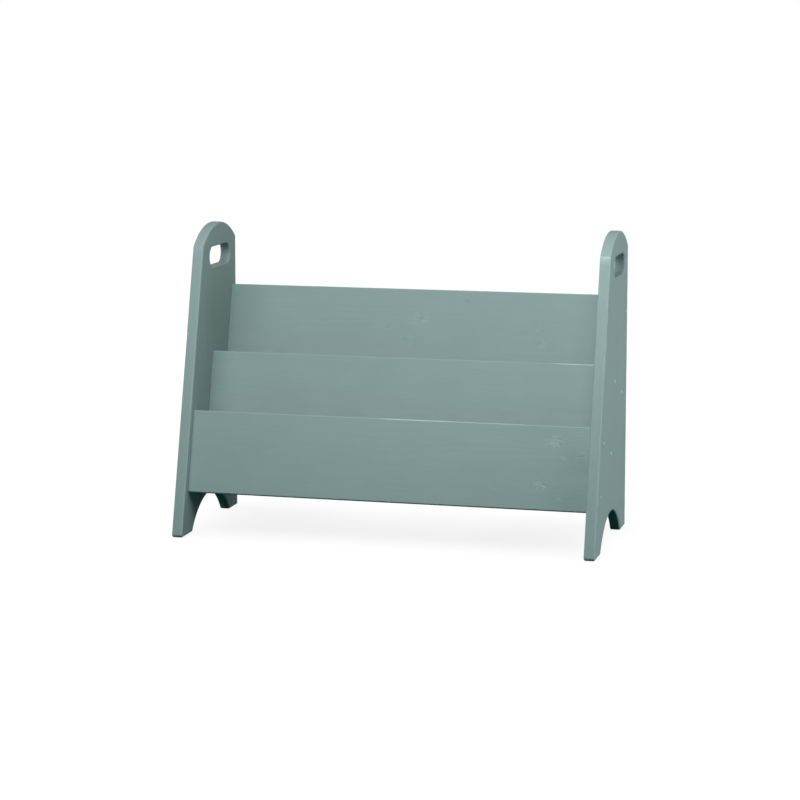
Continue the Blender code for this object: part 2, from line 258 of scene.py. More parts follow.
nose_centre = (TOE_Y + NOSE_TANGENT, NOSE_RADIUS)
nose = arc(nose_centre, NOSE_RADIUS, -math.pi / 2, -math.pi - LEAN, SMALL_ARC_STEP)
foot_arch = crown_arc((TOE_Y + FRONT_FOOT, 0.0), (REAR_Y - REAR_FOOT, 0.0), ARCH_RISE)
side_outline = nose + crown_arc(HEAD_FRONT, HEAD_REAR, TOP_Z)[::-1] + [(REAR_Y, 0.0)] + foot_arch
print("points round the side board:", len(side_outline))

# %% [markdown]
# ## The hand hole
#
# The hand hole is an oblong, as a router leaves it when it runs a straight slot: two half circles with
# straight runs between them. It lies level, right under the crown of the head's arc, so its middle comes
# from that circle. It could be cut out of the finished board, but then its rim would still have to be
# rounded. So it is drawn as a second outline, and is rounded together with the first.

# %% Draw the hand hole
GRIP_LENGTH, GRIP_HEIGHT, GRIP_DROP = 105.0 * MM, 33.0 * MM, 55.5 * MM

(crown_y, _), head_radius = crown_circle(HEAD_FRONT, HEAD_REAR, TOP_Z)
grip_z = TOP_Z - GRIP_DROP
grip_reach = (GRIP_LENGTH - GRIP_HEIGHT) / 2
grip_outline = []
for turn, y in ((0, crown_y + grip_reach), (1, crown_y - grip_reach)):
    start = (turn - 0.5) * math.pi
    grip_outline += arc((y, grip_z), GRIP_HEIGHT / 2, start, start + math.pi, SMALL_ARC_STEP)
print("head arc radius in mm:", round(head_radius / MM, 1))
print("hand hole middle in mm:", round(crown_y / MM, 1))

# %% [markdown]
# ## The side boards with their rounded edges
#
# On the real board a round-over cutter runs along both faces, round the outline and round the hand hole
# alike. A Bevel modifier can do that, but it struggles where a hole's rim has many short edges. So the
# rounding is built as rings: each ring is the whole outline moved into the wood by a little less than the
# one before, and the rings follow a quarter circle. Flat caps close both faces, with the hand hole left
# open.

# %% Move an outline into the wood
def inset_outline(outline, distance):
    """An outline moved into the wood, corner by corner; the wood lies to the right of its run."""
    corners = [Vector(point) for point in outline]
    moved = []
    for before, here, after in zip(corners[-1:] + corners[:-1], corners, corners[1:] + corners[:1]):
        runs = (here - before).normalized(), (after - here).normalized()
        first, second = (Vector((run.y, -run.x)) for run in runs)
        mitre = (first + second).normalized()
        moved.append(here + mitre * (distance / mitre.dot(first)))
    return moved


toe_gap = (inset_outline(side_outline, MM)[0] - Vector(side_outline[0])).length
print("the outline's first point moves by", round(toe_gap / MM, 2), "mm when the outline moves in by 1 mm")

# %% Loft the rings
SIDE_ARRIS = 3.0 * MM
ARRIS_STEPS = 6


def rounded_board(outline, hole, half):
    """A bmesh of a board between x = -half and half, its edges rounded in rings."""
    turns = [math.pi / 2 * i / ARRIS_STEPS for i in range(ARRIS_STEPS + 1)]
    profile = [(SIDE_ARRIS * (1 - math.cos(a)) - half, SIDE_ARRIS * (1 - math.sin(a))) for a in turns]
    profile += [(-x, inset) for x, inset in reversed(profile)]
    bm = bmesh.new()
    rims = []
    for loop in (outline, hole):
        rings = [[bm.verts.new((x, y, z)) for y, z in inset_outline(loop, inset)] for x, inset in profile]
        for lower, upper in zip(rings, rings[1:]):
            for i in range(len(loop)):
                bm.faces.new((lower[i - 1], lower[i], upper[i], upper[i - 1]))
        rims.append((rings[0], rings[-1]))
    for face_rims in zip(*rims):
        edges = [bm.edges.get((rim[i - 1], rim[i])) for rim in face_rims for i in range(len(rim))]
        bmesh.ops.triangle_fill(bm, edges=edges, use_beauty=True, normal=(1.0, 0.0, 0.0))
    return bm


half_board = (side_high.x - side_low.x) / 2
sides = {}
for word in ("left", "right"):
    low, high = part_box(word + "_side")
    place = Matrix.Translation(((low.x + high.x) / 2, 0.0, 0.0))
    board = rounded_board(side_outline, grip_outline, half_board)
    sides[word] = add_piece(f"painted_{word}_side", board, place)
    print(word, "side board:", len(sides[word].data.polygons), "faces")

# %% [markdown]
# ## The plugs over the screws
#
# Each panel is screwed on through the side boards, and every screw's head is hidden under a small domed
# plug of the same paint. The plug sits in a round hole whose rim was eased with sandpaper, and that narrow
# shaded ring is what makes the plug show. Both are turned shapes: a profile of a few points, spun round the
# X axis.

# %% Turn the plugs and the cutters for their holes
ROUND_SIDES = 48
PLUG_DOME = 2.0 * MM
PLUG_FIT = 0.1 * MM
EASED_RIM = 0.3 * MM
DOME_STEPS = 8
SAME_POINT = 0.001 * MM


def turned(profile, place):
    """A bmesh spun round the X axis from (x, radius) points that start and end on the axis."""
    bm = bmesh.new()
    verts = [bm.verts.new((x, 0.0, radius)) for x, radius in profile]
    edges = [bm.edges.new(pair) for pair in zip(verts, verts[1:])]
    bmesh.ops.spin(bm, geom=verts + edges, cent=(0, 0, 0), axis=(1, 0, 0),
                   angle=2 * math.pi, steps=ROUND_SIDES, use_merge=True)
    bmesh.ops.remove_doubles(bm, verts=bm.verts, dist=SAME_POINT)
    bmesh.ops.transform(bm, matrix=place, verts=bm.verts)
    bmesh.ops.recalc_face_normals(bm, faces=bm.faces)
    return bm


def plug_profile(radius, length):
    """From the top of the dome down to the plug's foot, with x = 0 at the board's face."""
    turns = [math.pi / 2 * i / DOME_STEPS for i in range(DOME_STEPS + 1)]
    dome = [(-PLUG_DOME * math.cos(a), radius * math.sin(a)) for a in turns]
    return dome + [(length - PLUG_DOME, radius), (length - PLUG_DOME, 0.0)]


def hole_profile(radius, depth):
    """The cutter for a plug's hole: straight below, and flared where the rim was eased."""
    flare = radius + PLUG_FIT + EASED_RIM
    return [(-EASED_RIM, 0.0), (-EASED_RIM, flare + EASED_RIM), (EASED_RIM, radius + PLUG_FIT),
            (depth, radius + PLUG_FIT), (depth, 0.0)]


print("gap round a plug in mm:", round(PLUG_FIT / MM, 2), "widened at the face by", round(EASED_RIM / MM, 2))

# %% [markdown]
# ## Drilling the side boards
#
# The holes are cut out of the side boards with a Boolean modifier. All six cutters of a board go into one
# mesh, so the board is cut once. The result is kept as the board's own mesh, and the cutter is thrown away.

# %% Drill the holes and set the plugs
def drill(side, cutters):
    """Cuts the cutters' shape out of a side board for good."""
    cutter_mesh = bpy.data.meshes.new("plug_holes")
    cutters.to_mesh(cutter_mesh)
    cutters.free()
    cutter = bpy.data.objects.new("plug_holes", cutter_mesh)
    bpy.context.scene.collection.objects.link(cutter)
    cutter.matrix_world = side.matrix_world
    holes = side.modifiers.new("plug_holes", "BOOLEAN")
    holes.operation = "DIFFERENCE"
    holes.solver = "MANIFOLD"
    holes.object = cutter
    bpy.context.view_layer.update()
    drilled = side.evaluated_get(bpy.context.evaluated_depsgraph_get())
    side.data = bpy.data.meshes.new_from_object(drilled)
    side.modifiers.clear()
    bpy.data.objects.remove(cutter, do_unlink=True)


plugs = {}
for word, inward in (("left", 1), ("right", -1)):
    side = sides[word]
    cutters = bmesh.new()
    for node in sorted(n for n in frame["nodes"] if n.startswith(word) and "_plug_" in n):
        low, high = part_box(node)
        radius, length = (high.z - low.z) / 2, high.x - low.x
        middle = (low + high) / 2
        face = Vector((side.location.x - inward * half_board, middle.y, middle.z))
        place = Matrix.Translation(face) @ Matrix.Rotation(0.0 if inward > 0 else math.pi, 4, "Z")
        plug = turned(plug_profile(radius, length), Matrix.Identity(4))
        plugs[node] = add_piece("painted_" + node, plug, place)
        one_cutter = bpy.data.meshes.new("one_cutter")
        local = side.matrix_world.inverted() @ place
        turned(hole_profile(radius, length - PLUG_DOME), local).to_mesh(one_cutter)
        cutters.from_mesh(one_cutter)
        bpy.data.meshes.remove(one_cutter)
    drill(side, cutters)
    shade_by_area(side)
    print(word, "side board with its holes:", len(side.data.polygons), "faces")
print("plugs:", len(plugs))

# %% [markdown]
# ## A helper for materials
#
# Each material below is a small network of nodes. One function adds any node: it takes the kind of node,
# what goes into its sockets, either a value or another node's output, and its settings. A socket is called
# by its name, or by its number where several share one name: a Mix node has its two colours at 6 and 7, and
# gives its colour at output 2. Colours are written as the hex values that a paint chart gives, and one
# function turns them into the linear light that Blender reckons with.

# %% Colours and nodes
def linear(hex_colour):
    """An sRGB hex colour as linear red, green, blue and alpha."""
    parts = [int(hex_colour[i:i + 2], 16) / 255 for i in (1, 3, 5)]
    return [c / 12.92 if c <= 0.04045 else ((c + 0.055) / 1.055) ** 2.4 for c in parts] + [1.0]


def add_node(tree, kind, inputs=None, **settings):
    """Adds a node, sets it up, and fills its sockets with values or with other nodes' outputs."""
    node = tree.nodes.new(kind)
    for key, value in settings.items():
        setattr(node, key, value)
    for socket, value in (inputs or {}).items():
        if isinstance(value, bpy.types.NodeSocket):
            tree.links.new(value, node.inputs[socket])
        else:
            node.inputs[socket].default_value = value
    return node


def new_material(name):
    """A new material with its node tree and its Principled BSDF."""
    material = bpy.data.materials.new(name)
    material.use_nodes = True
    return material, material.node_tree, material.node_tree.nodes["Principled BSDF"]


WHITE = linear("#FFFFFF")
print("middle grey in linear light:", round(linear("#808080")[0], 3))

# %% [markdown]
# ## The grain of the pine
#
# The wood is sanded pine under two coats of a matt, water-based paint. The paint hides the colour of the
# wood but not its relief: the hard latewood of each growth ring stands a few hundredths of a millimetre
# proud, and the eye sees long, faint lines along the board. A picture of wood could be laid over the
# boards, but it would have a seam at every edge. Here the grain follows from each point's place in the
# board, as in a real plank. Rings in a log are circles round its pith, so the lines are drawn as rings
# round an axis that runs along the board, a few centimetres away from it and a little askew. That gives
# straight lines at the edges of the board and long arches in its middle. A slow warp, about 11 cm long,
# keeps them from being true circles. The rings are 4.5 mm apart, as in pine that grew fast. At scale 1 a
# Wave texture has one ring every 2 pi / 20, so the spacing gives its scale. Bands of denser wood make
# streaks 5 mm wide and 150 mm long. Pine's fibres are far finer than a pixel of this picture, which covers
# 1.6 mm of the rack. They are drawn as bundles 0.8 mm wide and 40 mm long, as coarse as they need to be to
# show at all.

# %% Draw the grain
RING_SPACING = 4.5 * MM
WAVE_PERIOD = 2 * math.pi / 20
RING_WAVER = {"Distortion": 0.6, "Detail": 1.0, "Detail Scale": 1.5}
LOG_WARP_SIZE, LOG_WARP = 1000 / 9 * MM, 20.0 * MM
FIBRE_WIDTH, FIBRE_LENGTH = 0.8 * MM, 40.0 * MM
STREAK_WIDTH, STREAK_LENGTH = 5.0 * MM, 150.0 * MM


def grown_lines(tree, shuffled, along, width, length):
    """A noise of lines of a given width that are drawn out along the board."""
    drawn = [width / length if axis == along else 1.0 for axis in "XYZ"]
    place = add_node(tree, "ShaderNodeMapping", {"Vector": shuffled, "Scale": drawn})
    return add_node(tree, "ShaderNodeTexNoise", {"Vector": place.outputs[0], "Scale": 1 / width})


def growth_rings(tree, place, shuffled, along, from_pith, askew):
    """Rings round the pith of the log, with a slow bend in them."""
    in_log = add_node(tree, "ShaderNodeMapping", {"Vector": place, "Location": from_pith, "Rotation": askew})
    warp = add_node(tree, "ShaderNodeTexNoise", {"Vector": shuffled, "Scale": 1 / LOG_WARP_SIZE})
    bent = add_node(tree, "ShaderNodeVectorMath", {
        0: warp.outputs["Color"], 1: (LOG_WARP, LOG_WARP, LOG_WARP), 2: in_log.outputs[0]},
        operation="MULTIPLY_ADD")
    return add_node(tree, "ShaderNodeTexWave", {
        "Vector": bent.outputs[0], "Scale": WAVE_PERIOD / RING_SPACING, **RING_WAVER},
        wave_type="RINGS", rings_direction=along)


print("rings per metre of board:", round(1 / RING_SPACING))

# %% [markdown]
# ## Where the knots, the painted shade and the painted glints are
#
# Knots show through the paint too. At the right end of the front panel, round the knots there, the paint
# is darker: painted shade near the right side board. A small darker spot sits near the top of the rear
# panel. Along part of the top edges of the front and middle panels runs a bright line: a painted glint
# over paint rubbed thin where books are pulled out. Each of these places could be painted by hand. Here
# each is a short list of soft oval spots: x and z in the board's own plane, the radius, and the strength. A
# noise of about 11 mm makes their rims ragged.

# %% Soft spots on a board
RIM_WOBBLE_SIZE, RIM_WOBBLE = 100 / 9 * MM, 6.0 * MM
SPOT_OVAL = (0.7, 0.0, 1.0)
KNOTS_MM = {
    "front_panel": ((276, 41, 18, 1.0), (254, -28, 15, 1.0), (318, 22, 11, 0.9), (227, 10, 7, 0.5),
                    (290, 15, 8, 0.6), (286, -46, 9, 0.6)),
    "rear_panel": ((2, 44, 18, 0.6), (-17, 6, 13, 0.5), (-50, 30, 11, 0.5), (205, 32, 10, 0.4),
                   (214, 6, 10, 0.4)),
}
# Painted shade at the right end of the front panel, by the right side board; one small darker spot on the
# rear panel.
SHADE_AND_DARK_SPOTS_MM = {
    "front_panel": ((322, 5, 48, 0.8), (324, -50, 60, 1.0)),
    "rear_panel": ((84, 75, 6, 0.8),),
}
# Painted glints: bright highlight lines along the top edges, over paint rubbed thin.
GLINT_AND_WEAR_MM = {
    "front_panel": ((15, 67, 30, 0.9), (50, 67, 30, 0.9), (85, 67, 30, 0.9), (125, 67, 34, 0.5),
                    (175, 67, 36, 0.35), (205, 67, 26, 0.3)),
    "middle_panel": ((281, 84, 28, 0.9), (315, 84, 28, 0.9)),
}


def spots(tree, place, shuffled, places_mm):
    """The strength of the strongest spot at each point, full in its middle and 0 outside its ragged rim."""
    wobble = add_node(tree, "ShaderNodeTexNoise", {"Vector": shuffled, "Scale": 1 / RIM_WOBBLE_SIZE})
    ragged = add_node(tree, "ShaderNodeVectorMath", {
        0: wobble.outputs["Color"], 1: (RIM_WOBBLE, 0.0, RIM_WOBBLE), 2: place}, operation="MULTIPLY_ADD")
    level = None
    for x, z, radius, strength in places_mm:
        middle = (x * MM + RIM_WOBBLE / 2, 0.0, z * MM + RIM_WOBBLE / 2)
        flat = add_node(tree, "ShaderNodeVectorMath", {0: ragged.outputs[0], 1: middle},
                        operation="SUBTRACT")
        oval = add_node(tree, "ShaderNodeVectorMath", {0: flat.outputs[0], 1: SPOT_OVAL},
                        operation="MULTIPLY")
        reach = add_node(tree, "ShaderNodeVectorMath", {0: oval.outputs[0]}, operation="LENGTH")
        spot = add_node(tree, "ShaderNodeMapRange", {
            "Value": reach.outputs["Value"], "From Min": radius * MM, "From Max": 0.0, "To Max": strength},
            interpolation_type="SMOOTHSTEP")
        level = spot if level is None else add_node(
            tree, "ShaderNodeMath", {0: level.outputs[0], 1: spot.outputs[0]}, operation="MAXIMUM")
    return level


print("knots:", {node: len(places) for node, places in KNOTS_MM.items()})

# %% [markdown]
# ## Paint over a knot
#
# The rings bend round a knot, which is the foot of a branch, and the paint over it is a little paler and
# rougher than elsewhere, with cracks in it. The bend comes from moving the rings on where the knot is
# strongest. The real cracks are hair-thin and would be lost between the pixels, so they are drawn 4 mm
# wide, and twice as long along the grain.

# %% Bend the rings and crack the paint
KNOT_BEND = 9.0
SPECKLE_SIZE, SPECKLE_STRETCH, SPECKLE_SWIRL = 4.0 * MM, 0.5, 1.5
CRACKED_BELOW, WHOLE_ABOVE, CRACK_DEPTH = 0.43, 0.66, -0.35


def knot_paint(tree, place, shuffled, along, knots, rings):
    """Bends the rings round the knots and returns how pale the paint is over them, below 0 in its cracks."""
    knot = spots(tree, place, shuffled, knots)
    turn = add_node(tree, "ShaderNodeMath", {0: knot.outputs[0], 1: KNOT_BEND}, operation="MULTIPLY")
    tree.links.new(turn.outputs[0], rings.inputs["Phase Offset"])
    drawn = [SPECKLE_STRETCH if axis == along else 1.0 for axis in "XYZ"]
    speckle_place = add_node(tree, "ShaderNodeMapping", {"Vector": shuffled, "Scale": drawn})
    speckle = add_node(tree, "ShaderNodeTexNoise", {
        "Vector": speckle_place.outputs[0], "Scale": 1 / SPECKLE_SIZE, "Distortion": SPECKLE_SWIRL})
    crackle = add_node(tree, "ShaderNodeMapRange", {
        "Value": speckle.outputs["Fac"], "From Min": CRACKED_BELOW, "From Max": WHOLE_ABOVE,
        "To Min": CRACK_DEPTH})
    return add_node(tree, "ShaderNodeMath", {0: knot.outputs[0], 1: crackle.outputs[0]},
                    operation="MULTIPLY")


print("cracks over a knot are", round(SPECKLE_SIZE / MM), "mm wide")

# %% [markdown]
# ## Rounded edges and the painted highlight below the head's corner
#
# A brush and a roller leave less paint on a rounded edge, and hands rub it, so each edge is a little paler.
# That paleness also paints in the soft highlight that the rounded edges catch.
# A texture painted along every edge would do it, but the mesh already knows where its edges are: on a
# board's faces the normal lies along one of the board's own axes, and only on a rounded edge does it lie
# between two. So the square of the normal's share along one axis, times what is missing to 1, marks the
# rounding alone. It is a quarter at most.
# Just below the corner where a side board's front edge meets the arch of its head, the paint is paler: a
# painted highlight over paint worn pale, most on the right board. That is a short fade down from the
# corner, kept off the flat faces.

# %% Mark the edges
RIDGE_REACH = 16.0 * MM
RIDGE_FALLOFF = 2.0
# Painted highlight below the head's front corner, over worn paint, stronger on the right board.
RIDGE_HIGHLIGHT_AND_WEAR = {"left": 1.2, "right": 4.5}


def edge_marks(tree, normal, across):
    """Two masks: 1 on all that doesn't face across the board, and a quarter at most on its rounded edges."""
    facing = add_node(tree, "ShaderNodeSeparateXYZ", {0: normal}).outputs[across]
    squared = add_node(tree, "ShaderNodeMath", {0: facing, 1: facing}, operation="MULTIPLY")
    off_face = add_node(tree, "ShaderNodeMath", {0: 1.0, 1: squared.outputs[0]}, operation="SUBTRACT")
    rounding = add_node(tree, "ShaderNodeMath", {0: squared.outputs[0], 1: off_face.outputs[0]},
                        operation="MULTIPLY")
    return off_face, rounding


def ridge_highlight_and_wear(tree, place, off_face):
    """A painted highlight over worn paint: full just below the front corner of the head, fading out down the
    front edge.
    """
    from_corner = add_node(tree, "ShaderNodeVectorMath", {0: place, 1: (0.0, *HEAD_FRONT)},
                           operation="SUBTRACT")
    flat = add_node(tree, "ShaderNodeVectorMath", {0: from_corner.outputs[0], 1: (0.0, 1.0, 1.0)},
                    operation="MULTIPLY")
    reach = add_node(tree, "ShaderNodeVectorMath", {0: flat.outputs[0]}, operation="LENGTH")
    fade = add_node(tree, "ShaderNodeMapRange", {
        "Value": reach.outputs["Value"], "From Min": RIDGE_REACH, "From Max": 0.0})
    sharper = add_node(tree, "ShaderNodeMath", {0: fade.outputs[0], 1: RIDGE_FALLOFF}, operation="POWER")
    height = add_node(tree, "ShaderNodeSeparateXYZ", {0: from_corner.outputs[0]}).outputs["Z"]
    below = add_node(tree, "ShaderNodeMath", {0: height, 1: 0.0}, operation="LESS_THAN")
    highlight_and_wear = add_node(tree, "ShaderNodeMath", {0: sharper.outputs[0], 1: below.outputs[0]},
                    operation="MULTIPLY")
    return add_node(tree, "ShaderNodeMath", {0: highlight_and_wear.outputs[0], 1: off_face.outputs[0]},
                    operation="MULTIPLY")


print("the worn ridge reaches down", round(RIDGE_REACH / MM), "mm from the corner")

# %% [markdown]
# ## Painted pine
#
# Everything so far comes together in one paint: sage-green, water-based and matt, put on with a foam
# roller. To the eye it is chalky, with soft dark undersides and hardly any shine. A paint's IOR is about
# 1.5, and a matt one's roughness about 0.75. Such a rough, chalky skin mirrors less than that IOR says,
# because the light is caught between its grains, so its mirrored part is set low and matched to the dark
# undersides in the photograph. The tone runs from a darker green to a lighter one, and each pattern moves
# it a little: fibres, streaks, rings, rounded edges, whose paler paint also paints in their highlight,
# knots, painted shade and darker spots, and a mottle about 60 mm across, where the roller left more paint
# or less. A tone of 0 is the darker green and 1 the lighter, and the painted glints and the painted
# highlight below the heads' corners go beyond it. The streaks are stronger on the side boards, where the
# grain runs upwards. Relief comes from the same patterns. A foam roller's grain is under a millimetre and
# would be lost between the pixels, so it is drawn 1.8 mm wide.

# %% Values of the painted pine
PAINT_LIGHT, PAINT_DARK = "#8DA3A1", "#849A98"
PAINT_IOR = 1.5
PAINT_ROUGHNESS, ROUGHNESS_SPREAD = 0.75, 0.06
PAINT_SHEEN_LEVEL = 0.15
MOTTLE_SIZE = 60.0 * MM
ROLLER_GRAIN = 1.8 * MM
MOTTLE_TONE, FIBRE_TONE, RING_TONE = 0.6, 0.22, 0.12
STREAK_TONE = {"X": 0.4, "Z": 1.0}
# The paler rounded edges are partly painted highlight. The darkening paints shade by the right side board,
# and the glints are painted highlights on worn top edges.
EDGE_WEAR_AND_HIGHLIGHT_TONE, KNOT_TONE, SHADE_AND_DARK_SPOT_TONE, GLINT_AND_WEAR_TONE = 2.0, 2.6, -1.0, 30.0
RING_RELIEF, FIBRE_RELIEF, ROLLER_RELIEF, KNOT_RELIEF = 0.012 * MM, 0.015 * MM, 0.02 * MM, 0.15 * MM
SHUFFLE_SHARES = (1.0, 0.7, 1.3)
print("light sage in linear light:", [round(part, 3) for part in linear(PAINT_LIGHT)[:3]])


# %% Make the painted pine
def weighed_sum(tree, start, parts):
    """The start plus each part times its weight."""
    total = start
    for part, weight in parts:
        total = add_node(tree, "ShaderNodeMath", {0: part.outputs[0], 1: weight, 2: total.outputs[0]},
                         operation="MULTIPLY_ADD")
    return total


def painted_pine(name, along, across, from_pith, askew, shuffle, knots=(), shade_and_spots=(), highlight_and_wear=(), ridge=0.0):
    """Matt paint over pine: the grain runs along one axis of the board, the rounded edges across another."""
    material, tree, shader = new_material(name)
    lie = add_node(tree, "ShaderNodeTexCoord")
    place = lie.outputs["Object"]
    shift = [shuffle * share for share in SHUFFLE_SHARES]
    shuffled = add_node(tree, "ShaderNodeVectorMath", {0: place, 1: shift}, operation="ADD").outputs[0]
    fibres = grown_lines(tree, shuffled, along, FIBRE_WIDTH, FIBRE_LENGTH)
    streaks = grown_lines(tree, shuffled, along, STREAK_WIDTH, STREAK_LENGTH)
    rings = growth_rings(tree, place, shuffled, along, from_pith, askew)
    mottle = add_node(tree, "ShaderNodeTexNoise", {"Vector": shuffled, "Scale": 1 / MOTTLE_SIZE})
    roller = add_node(tree, "ShaderNodeTexNoise", {"Vector": shuffled, "Scale": 1 / ROLLER_GRAIN})
    off_face, rounding = edge_marks(tree, lie.outputs["Normal"], across)
    # The paleness of the rounded edges is partly a painted highlight.
    tones = [(fibres, FIBRE_TONE), (streaks, STREAK_TONE[along]), (rings, RING_TONE), (rounding, EDGE_WEAR_AND_HIGHLIGHT_TONE)]
    reliefs = [(fibres, FIBRE_RELIEF), (roller, ROLLER_RELIEF)]
    if knots:
        pale = knot_paint(tree, place, shuffled, along, knots, rings)
        tones.append((pale, KNOT_TONE))
        reliefs.append((pale, KNOT_RELIEF))
    # Painted shade and darker spots.
    if shade_and_spots:
        tones.append((spots(tree, place, shuffled, shade_and_spots), SHADE_AND_DARK_SPOT_TONE))
    # Painted glints along the rounded top edges.
    if highlight_and_wear:
        glint_spots = spots(tree, place, shuffled, highlight_and_wear)
        edge_glint = add_node(tree, "ShaderNodeMath", {0: glint_spots.outputs[0], 1: rounding.outputs[0]},
                          operation="MULTIPLY")
        tones.append((edge_glint, GLINT_AND_WEAR_TONE))
    # Painted highlight below the head's front corner.
    if ridge:
        tones.append((ridge_highlight_and_wear(tree, place, off_face), ridge))
    base_tone = add_node(tree, "ShaderNodeMath", {0: mottle.outputs["Fac"], 1: MOTTLE_TONE},
                         operation="MULTIPLY")
    tone = weighed_sum(tree, base_tone, tones)
    paint = add_node(tree, "ShaderNodeMix", {
        "Factor": tone.outputs[0], 6: linear(PAINT_DARK), 7: linear(PAINT_LIGHT)},
        data_type="RGBA", clamp_factor=False)
    matt = add_node(tree, "ShaderNodeMapRange", {
        "Value": fibres.outputs["Fac"], "To Min": PAINT_ROUGHNESS - ROUGHNESS_SPREAD,
        "To Max": PAINT_ROUGHNESS + ROUGHNESS_SPREAD})
    base_relief = add_node(tree, "ShaderNodeMath", {0: rings.outputs["Fac"], 1: RING_RELIEF},
                           operation="MULTIPLY")
    relief = weighed_sum(tree, base_relief, reliefs)
    bump = add_node(tree, "ShaderNodeBump", {"Height": relief.outputs[0], "Distance": 1.0})
    tree.links.new(paint.outputs[2], shader.inputs["Base Color"])
    tree.links.new(matt.outputs[0], shader.inputs["Roughness"])
    tree.links.new(bump.outputs[0], shader.inputs["Normal"])
    shader.inputs["IOR"].default_value = PAINT_IOR
    shader.inputs["Specular IOR Level"].default_value = PAINT_SHEEN_LEVEL
    return material


print("deepest plain relief in mm:", round((RING_RELIEF + FIBRE_RELIEF + ROLLER_RELIEF) / MM, 3))

# %% [markdown]
# ## Painting the boards
#
# One material on all the boards would be simpler, but every mark would then come again on the next board,
# and no two real boards come from the same place in a log. So each one gets its own place beside the pith,
# its own small turn in the log, and its own stretch of every noise. The two side boards are cut alike and
# differ in the noise.

# %% Paint the boards
FROM_PITH_MM = {
    "front_panel": (0, 61, 0),
    "middle_panel": (0, 67, 12),
    "rear_panel": (0, 73, -12),
    "front_pocket_floor": (0, 79, 0),
    "rear_pocket_floor": (0, 85, 12),
    "side": (60, -30, 0),
}
ASKEW_DEGREES = {
    "front_panel": (0.0, 0.7, -0.8),
    "middle_panel": (0.0, 0.3, 0.8),
    "rear_panel": (0.0, -0.1, -0.8),
    "front_pocket_floor": (0.0, -0.5, 0.8),
    "rear_pocket_floor": (0.0, -0.9, -0.8),
    "side": (1.0, -1.3, 0.0),
}
SHUFFLE_STEP = 3.1
FIRST_BOARD, FIRST_SIDE = 1, 7


def lie_in_log(key):
    """A board's place beside the pith, in metres, and its turn in the log, in radians."""
    return [mm * MM for mm in FROM_PITH_MM[key]], [math.radians(degrees) for degrees in ASKEW_DEGREES[key]]


def dress(piece, material, slot, *nodes):
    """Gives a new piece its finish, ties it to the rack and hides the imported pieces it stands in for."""
    piece.data.materials.clear()
    piece.data.materials.append(material)
    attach(piece, "root")
    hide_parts(*nodes)


for count, (node, board) in enumerate(boards.items(), start=FIRST_BOARD):
    pine = painted_pine("painted_pine_" + node, "X", "Z", *lie_in_log(node), count * SHUFFLE_STEP,
                        KNOTS_MM.get(node, ()), SHADE_AND_DARK_SPOTS_MM.get(node, ()), GLINT_AND_WEAR_MM.get(node, ()))
    dress(board, pine, "painted_pine", node)
for count, (word, side) in enumerate(sides.items(), start=FIRST_SIDE):
    pine = painted_pine(f"painted_pine_{word}_side", "Z", "X", *lie_in_log("side"), count * SHUFFLE_STEP,
                        ridge=RIDGE_HIGHLIGHT_AND_WEAR[word])
    dress(side, pine, "painted_pine", word + "_side")
print("painted boards:", len(boards) + len(sides))

# %% [markdown]
# ## Painted plugs
#
# The plugs are turned from wood and painted with the boards, matt like them. Their domes are end grain,
# which drinks the paint and dries a little paler and coarser. Their colour is set paler still, which paints
# in the highlight that each small dome catches, so they show as small pale dots. They could share the
# boards' paint, but its rings and streaks are far wider than a plug. One fine speckle, as wide as the
# drawn fibres, gives both the colour and the relief.

# %% Make the painted plugs
# Paler than the boards' paint: partly end grain, partly a painted highlight on the domes.
PLUG_DARK, PLUG_LIGHT = "#A2BAB6", "#B2C8C4"
PLUG_RELIEF = 0.03 * MM


def painted_plug():
    """The same paint on turned wood, paler, with the dome's highlight painted in."""
    material, tree, shader = new_material("painted_plug")
    place = add_node(tree, "ShaderNodeTexCoord").outputs["Object"]
    speckle = add_node(tree, "ShaderNodeTexNoise", {"Vector": place, "Scale": 1 / FIBRE_WIDTH})
    paint = add_node(tree, "ShaderNodeMix", {
        "Factor": speckle.outputs["Fac"], 6: linear(PLUG_DARK), 7: linear(PLUG_LIGHT)}, data_type="RGBA")
    relief = add_node(tree, "ShaderNodeMath", {0: speckle.outputs["Fac"], 1: PLUG_RELIEF},
                      operation="MULTIPLY")
    bump = add_node(tree, "ShaderNodeBump", {"Height": relief.outputs[0], "Distance": 1.0})
    tree.links.new(paint.outputs[2], shader.inputs["Base Color"])
    tree.links.new(bump.outputs[0], shader.inputs["Normal"])
    shader.inputs["Roughness"].default_value = PAINT_ROUGHNESS
    shader.inputs["IOR"].default_value = PAINT_IOR
    shader.inputs["Specular IOR Level"].default_value = PAINT_SHEEN_LEVEL
    return material


plug_finish = painted_plug()
for node, plug in plugs.items():
    dress(plug, plug_finish, "painted_plug", node)
print("painted plugs:", len(plugs))

# %% [markdown]
# ## What the wood hides
#
# Screws and dowels can't be seen on the finished rack, but they are part of it, and the model can be taken
# apart. They could be built anew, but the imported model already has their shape. They stay as it made them,
# with the shading smoothed, and get the finishes of the real ones. Bright zinc plating is a thin metal
# film, shiny and slightly cloudy: its clouds are 2.5 mm across, and its roughness moves with them. Plain
# sanded beech is dull and warm, with short dark flecks along the grain, half a millimetre wide and a few
# millimetres long.

# %% Make zinc plating and beech
ZINC_DARK, ZINC_LIGHT = "#BDB9AF", "#D2D0CA"
ZINC_CLOUD_SIZE, ZINC_CLOUD_DETAIL = 2.5 * MM, 3.0
ZINC_SMOOTH, ZINC_DULL = 0.25, 0.42
BEECH_DARK, BEECH_LIGHT = "#B98F63", "#DCBA90"
FLECK_WIDTH, FLECK_STRETCH = 5 / 9 * MM, 0.15
BEECH_ROUGHNESS = 0.65


